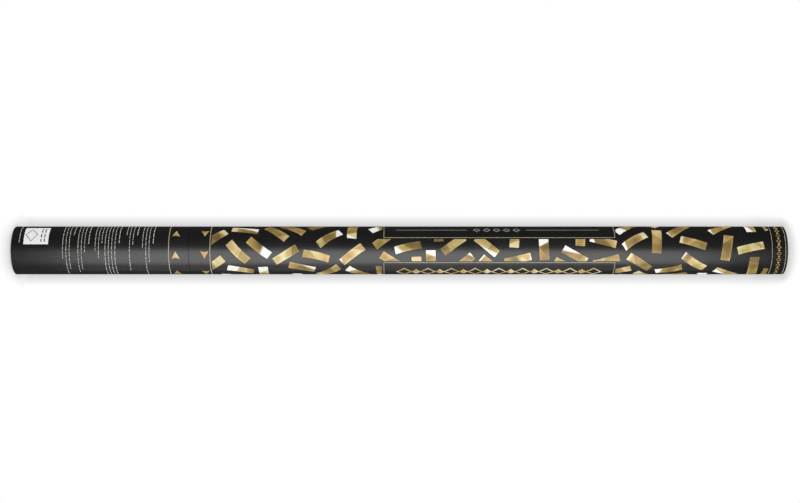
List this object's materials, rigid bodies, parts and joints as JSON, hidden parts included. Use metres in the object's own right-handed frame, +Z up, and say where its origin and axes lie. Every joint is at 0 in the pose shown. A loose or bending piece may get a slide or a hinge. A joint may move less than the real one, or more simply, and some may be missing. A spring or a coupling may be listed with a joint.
{
  "type": "confetti popper",
  "caption": "Slim twist-fired confetti popper: a black board tube with gold print, an air bottle and cam valve in its handle, and foil confetti in a capped barrel.",
  "frame": {"origin": "middle of the base, on the floor that the popper stands on", "axes": "+Z up along the barrel, from the base to the muzzle"},
  "size_m": [0.05, 0.05, 0.8],
  "materials": {
    "black_paper": "satin laminated black paper",
    "wound_board": "spiral wound kraft board",
    "fluted_board": "fluted kraft board",
    "black_plastic": "fine moulded black polypropylene",
    "grey_plastic": "moulded grey ABS",
    "white_plastic": "natural acetal",
    "drawn_aluminium": "drawn aluminium",
    "black_rubber": "moulded nitrile rubber",
    "spring_steel": "oiled spring steel",
    "moulded_pulp": "moulded grey pulp",
    "gold_foil": "gold metallised film"
  },
  "bodies": {
    "handle": {"handle_tube": "wound_board", "handle_label": "black_paper", "base_cap": "black_plastic", "air_cylinder": "drawn_aluminium", "fill_plug": "black_rubber", "spacer_sleeve": "fluted_board", "neck_seal": "black_rubber", "handle_collar": "grey_plastic", "thrust_washer": "white_plastic", "retaining_ring": "spring_steel"},
    "valve": {"release_plug": "white_plastic", "plug_o_ring": "black_rubber", "cross_pin": "spring_steel"},
    "barrel": {"barrel_tube": "wound_board", "barrel_label": "black_paper", "cam_collar": "grey_plastic", "blast_plate": "grey_plastic"},
    "charge": {"pusher_cup": "moulded_pulp", "confetti_tier_1": "gold_foil", "confetti_tier_2": "gold_foil", "confetti_tier_3": "gold_foil", "confetti_tier_4": "gold_foil", "confetti_tier_5": "gold_foil", "confetti_tier_6": "gold_foil"},
    "cap": {"muzzle_cap": "black_plastic"}
  },
  "joints": [
    {"name": "barrel_twist", "type": "hinge", "parent": "handle", "child": "barrel", "pos_m": [0, 0, 0.183], "axis": [0, 0, 1], "range_deg": [0, 90]},
    {"name": "valve_lift", "type": "slide", "parent": "handle", "child": "valve", "axis": [0, 0, 1], "range_m": [0, 0.00601]},
    {"name": "charge_launch", "type": "slide", "parent": "barrel", "child": "charge", "axis": [0, 0, 1], "range_m": [0, 0.6]},
    {"name": "cap_launch", "type": "slide", "parent": "barrel", "child": "cap", "axis": [0, 0, 1], "range_m": [0, 0.6]}
  ],
  "couplings": [
    {"joint": "valve_lift", "follows": "barrel_twist", "m_per_rad": 0.0038197},
    {"joint": "cap_launch", "follows": "charge_launch", "ratio": 1}
  ]
}
